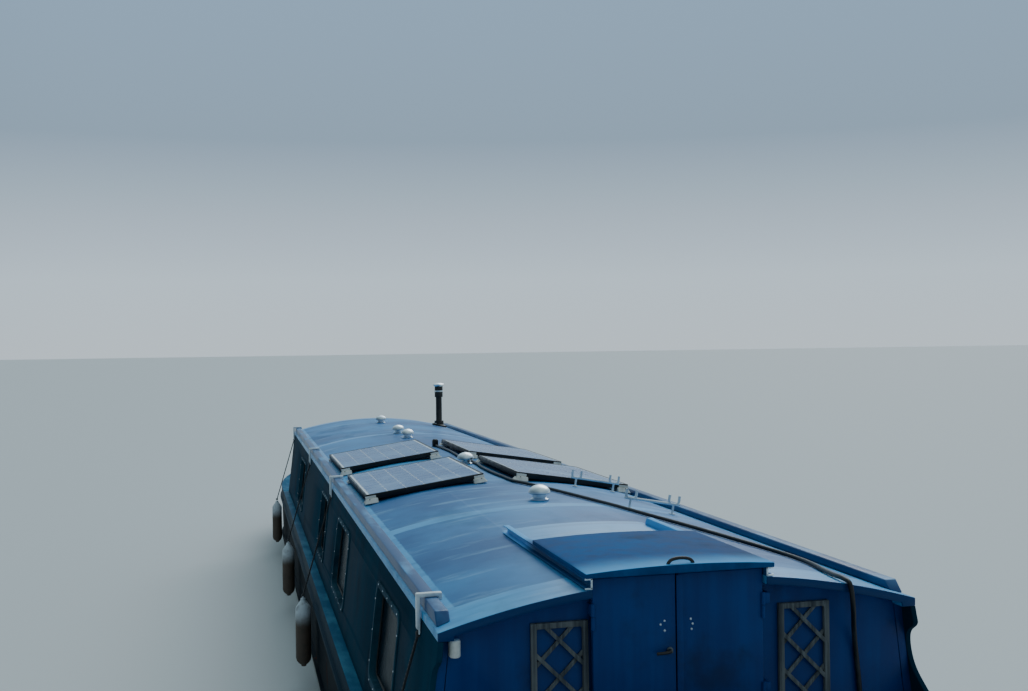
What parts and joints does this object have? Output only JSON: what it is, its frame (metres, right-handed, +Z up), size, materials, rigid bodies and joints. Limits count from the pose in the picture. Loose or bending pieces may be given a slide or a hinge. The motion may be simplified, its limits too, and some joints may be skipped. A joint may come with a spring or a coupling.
{
  "type": "narrowboat",
  "caption": "Steel canal narrowboat with cruiser stern, windowed cabin, double doors under a sliding hatch, roof solar panels, bow well and foredeck.",
  "frame": {"origin": "on the underside of the base plate, on the centreline, midway along the hull", "axes": "+X to starboard, +Y forward to the bow, +Z up"},
  "size_m": [2.176, 13.8199, 2.4656],
  "materials": {
    "hull_black": "satin bitumen-black and dark blue hull paint, scuffed",
    "slate_paint": "satin slate-blue coach paint, weathered",
    "navy_paint": "satin navy-blue coach paint, weathered",
    "roof_paint": "semi-gloss pale steel-blue roof paint with sanded non-slip panels",
    "rail_paint": "semi-gloss light-blue paint",
    "cream_fittings": "off-white moulded and painted fittings",
    "window_glass": "dark tinted glass",
    "weathered_wood": "grey weathered timber",
    "solar_cells": "blue-grey cells under glass in a black frame",
    "bright_steel": "bright steel",
    "black_rubber": "black rubber",
    "dark_rope": "dark braided rope",
    "bronze": "dull bronze",
    "engine_paint": "green engine enamel"
  },
  "bodies": {
    "boat": {"base_plate": "hull_black", "hull_side_port": "hull_black", "hull_side_starboard": "hull_black", "bow_shell": "hull_black", "stern_shell": "hull_black", "stern_rail": "hull_black", "chimney": "hull_black", "cabin_side_port": "slate_paint", "cabin_side_starboard": "slate_paint", "stern_deck": "slate_paint", "rear_bulkhead": "navy_paint", "front_bulkhead": "navy_paint", "hatch_runner_port": "navy_paint", "hatch_runner_starboard": "navy_paint", "cabin_roof": "roof_paint", "handrail_port": "rail_paint", "handrail_starboard": "rail_paint", "cabin_floor": "weathered_wood", "trellis_port": "weathered_wood", "trellis_starboard": "weathered_wood", "window_port_1": "window_glass", "window_port_2": "window_glass", "window_port_3": "window_glass", "window_port_4": "window_glass", "window_starboard_1": "window_glass", "window_starboard_2": "window_glass", "window_starboard_3": "window_glass", "window_starboard_4": "window_glass", "solar_panel_port_aft": "solar_cells", "solar_panel_port_fwd": "solar_cells", "solar_panel_starboard_aft": "solar_cells", "solar_panel_starboard_fwd": "solar_cells", "mushroom_vent_1": "bright_steel", "mushroom_vent_2": "bright_steel", "mushroom_vent_3": "bright_steel", "mushroom_vent_4": "bright_steel", "mushroom_vent_5": "bright_steel", "bulkhead_lamp": "cream_fittings", "pole_rack_aft": "cream_fittings", "pole_rack_fwd": "cream_fittings", "fender_1": "cream_fittings", "fender_2": "cream_fittings", "fender_3": "cream_fittings", "fender_4": "cream_fittings", "bow_fender": "dark_rope", "roof_cable": "black_rubber", "cable_gland": "black_rubber", "cable_entry": "black_rubber", "engine_block": "engine_paint"},
    "hatch": {"hatch": "navy_paint"},
    "rear_door_port": {"rear_door_port": "navy_paint"},
    "rear_door_starboard": {"rear_door_starboard": "navy_paint"},
    "front_door_port": {"front_door_port": "navy_paint"},
    "front_door_starboard": {"front_door_starboard": "navy_paint"},
    "engine_lid": {"engine_hatch_lid": "slate_paint"},
    "steering": {"rudder": "hull_black", "tiller_neck": "bright_steel"},
    "propeller": {"propeller": "bronze"},
    "locker_lid": {"gas_locker_lid": "slate_paint"}
  },
  "joints": [
    {"name": "hatch_slide", "type": "slide", "parent": "boat", "child": "hatch", "axis": [0, 1, 0], "range_m": [0, 0.58]},
    {"name": "rear_door_port_hinge", "type": "hinge", "parent": "boat", "child": "rear_door_port", "pos_m": [-0.344, -5.318, 1.2], "axis": [0, 0, -1], "range_deg": [0, 100]},
    {"name": "rear_door_starboard_hinge", "type": "hinge", "parent": "boat", "child": "rear_door_starboard", "pos_m": [0.288, -5.318, 1.2], "axis": [0, 0, 1], "range_deg": [0, 100]},
    {"name": "front_door_port_hinge", "type": "hinge", "parent": "boat", "child": "front_door_port", "pos_m": [-0.314, 4.07, 0.7], "axis": [0, 0, 1], "range_deg": [0, 100]},
    {"name": "front_door_starboard_hinge", "type": "hinge", "parent": "boat", "child": "front_door_starboard", "pos_m": [0.314, 4.07, 0.7], "axis": [0, 0, -1], "range_deg": [0, 100]},
    {"name": "engine_lid_hinge", "type": "hinge", "parent": "boat", "child": "engine_lid", "pos_m": [-0.305, -5.912, 1.1673], "axis": [0, -1, 0], "range_deg": [0, 80]},
    {"name": "steering_pivot", "type": "hinge", "parent": "boat", "child": "steering", "pos_m": [0, -6.56, 0.015], "axis": [0, 0, -1], "range_deg": [-35, 35]},
    {"name": "propeller_spin", "type": "hinge", "parent": "boat", "child": "propeller", "pos_m": [0, -6.378, 0.25], "axis": [0, 1, 0], "continuous": true},
    {"name": "locker_lid_hinge", "type": "hinge", "parent": "boat", "child": "locker_lid", "pos_m": [0, 5.985, 1.3393], "axis": [-1, 0, 0], "range_deg": [0, 95]}
  ]
}
